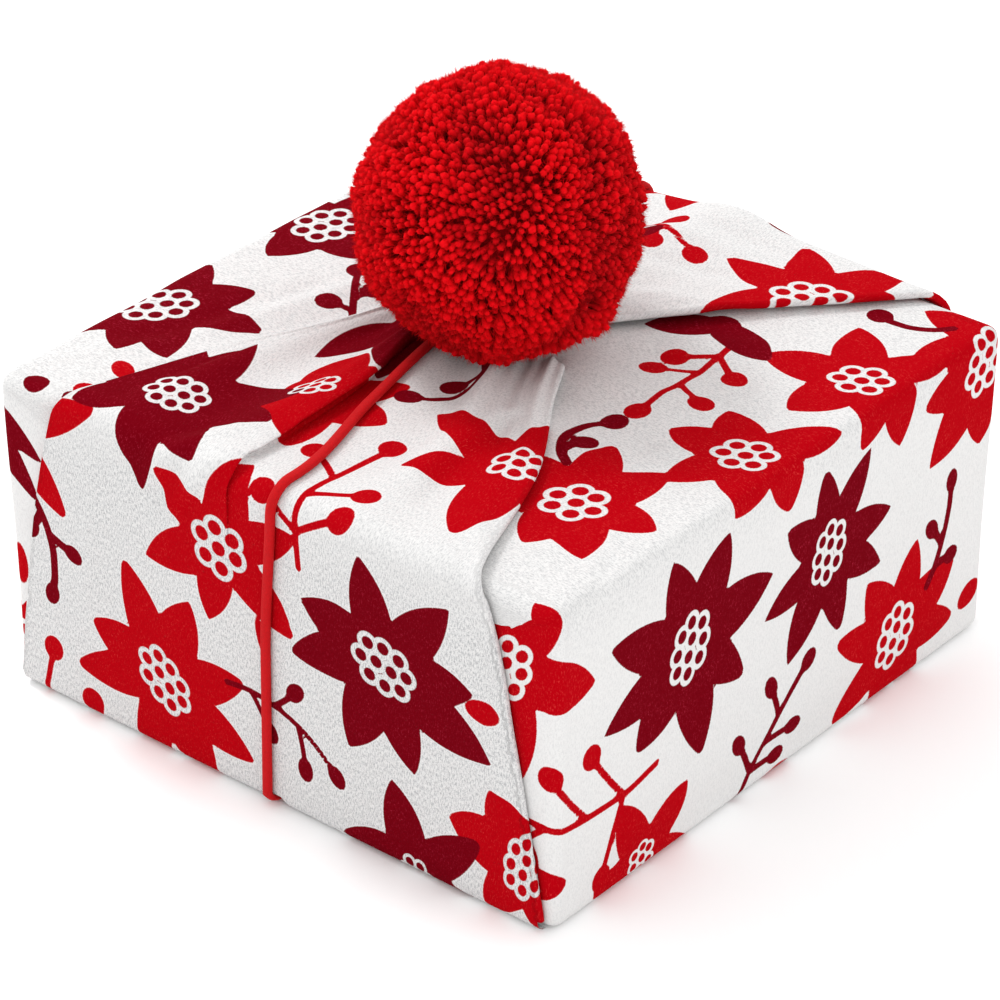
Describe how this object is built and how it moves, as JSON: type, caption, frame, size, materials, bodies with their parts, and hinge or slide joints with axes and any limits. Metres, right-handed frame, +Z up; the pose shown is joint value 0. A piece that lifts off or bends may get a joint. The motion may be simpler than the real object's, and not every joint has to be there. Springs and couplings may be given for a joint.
{
  "type": "furoshiki wrap on a gift box",
  "caption": "Square gift box wrapped in one printed cotton cloth with folded flaps, closed by an elastic band under a wool pompom.",
  "frame": {"origin": "middle of the underside, on the surface that the wrap stands on", "axes": "+Z up; -Y is the front wall with the folded flap and the band; +X is the smooth side panel to its right"},
  "size_m": [0.207, 0.217, 0.1969],
  "materials": {
    "printed_cotton": "crinkled crepe cotton, white ground printed with red and burgundy flowers",
    "white_board": "plain matte carton board, made of wood pulp",
    "red_elastic": "velvety knitted elastic",
    "red_wool": "cut wool yarn"
  },
  "bodies": {
    "root": {"wrapping_cloth": "printed_cotton", "gift_box": "white_board", "elastic_band": "red_elastic", "pompom": "red_wool"}
  },
  "joints": []
}
